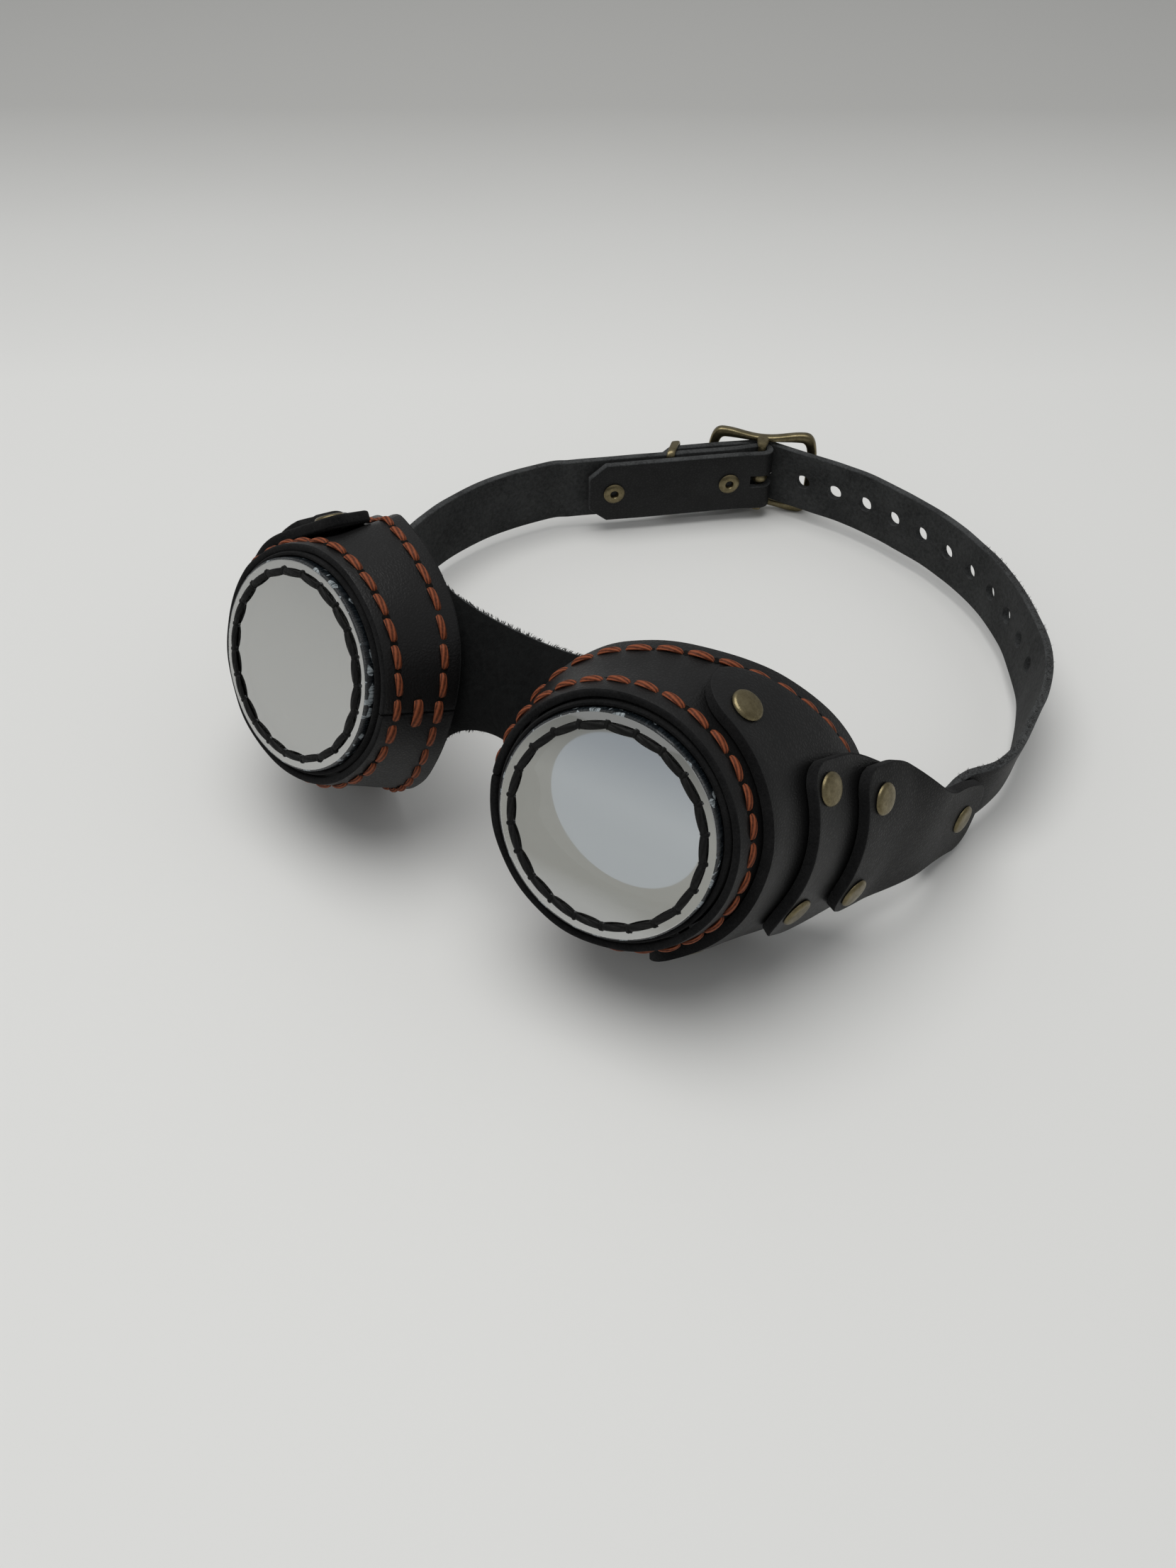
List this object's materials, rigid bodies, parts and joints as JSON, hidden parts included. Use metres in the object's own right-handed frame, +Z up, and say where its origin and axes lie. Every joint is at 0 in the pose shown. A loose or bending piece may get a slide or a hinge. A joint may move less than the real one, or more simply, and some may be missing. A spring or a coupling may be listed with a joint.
{
  "type": "pilot goggles",
  "caption": "Hand-sewn leather goggles with round clear lenses in flared cups, a nose bridge, riveted temple overlays and a buckled head strap that swivels on its end rivets.",
  "frame": {"origin": "middle of the footprint, on the table the goggles lie on", "axes": "+Z up, lenses face -Y, strap runs back along +Y, +X to the wearer's left"},
  "size_m": [0.1906, 0.2142, 0.0776],
  "materials": {
    "leather": "satin grained leather with raw cut edges",
    "suede": "matt flesh side of the leather",
    "acrylic": "clear polished sheet with sawn edge",
    "black_thread": "waxed cord",
    "rust_thread": "waxed twisted cord",
    "brass": "antiqued"
  },
  "bodies": {
    "front": {"cup_wall_right": "leather", "side_shield_right": "leather", "middle_overlay_right": "leather", "strap_tab_right": "leather", "lens_collar_right": "leather", "lens_right": "acrylic", "lens_thread_right": "black_thread", "front_seam_thread_right": "rust_thread", "back_seam_thread_right": "rust_thread", "seam_stitch_right": "rust_thread", "shield_rivet_1_right": "brass", "shield_rivet_2_right": "brass", "middle_rivet_1_right": "brass", "middle_rivet_2_right": "brass", "tab_rivet_1_right": "brass", "tab_rivet_2_right": "brass", "tail_rivet_right": "brass", "cup_wall_left": "leather", "side_shield_left": "leather", "middle_overlay_left": "leather", "strap_tab_left": "leather", "lens_collar_left": "leather", "lens_left": "acrylic", "lens_thread_left": "black_thread", "front_seam_thread_left": "rust_thread", "back_seam_thread_left": "rust_thread", "seam_stitch_left": "rust_thread", "shield_rivet_1_left": "brass", "shield_rivet_2_left": "brass", "middle_rivet_1_left": "brass", "middle_rivet_2_left": "brass", "tab_rivet_1_left": "brass", "tab_rivet_2_left": "brass", "tail_rivet_left": "brass", "face_band": "suede"},
    "strap": {"strap_left": "leather", "strap_right": "leather", "fold_rivet_1": "brass", "fold_rivet_2": "brass"},
    "keeper": {"keeper_loop": "brass"},
    "buckle": {"buckle_frame": "brass"},
    "tongue": {"buckle_tongue": "brass"}
  },
  "joints": [
    {"name": "strap_swivel", "type": "hinge", "parent": "front", "child": "strap", "pos_m": [0, -0.01441, 0.01435], "axis": [1, 0, 0], "range_deg": [-20, 25]},
    {"name": "keeper_slide", "type": "slide", "parent": "strap", "child": "keeper", "axis": [0.7071, 0.7071, 0], "range_m": [-0.014, 0.006]},
    {"name": "buckle_rock", "type": "hinge", "parent": "strap", "child": "buckle", "pos_m": [-0.02794, 0.09209, 0.01435], "axis": [0, 0, 1], "range_deg": [-6, 1]},
    {"name": "tongue_swing", "type": "hinge", "parent": "buckle", "child": "tongue", "pos_m": [-0.02794, 0.09209, 0.01435], "axis": [0, 0, 1], "range_deg": [0, 5]}
  ]
}
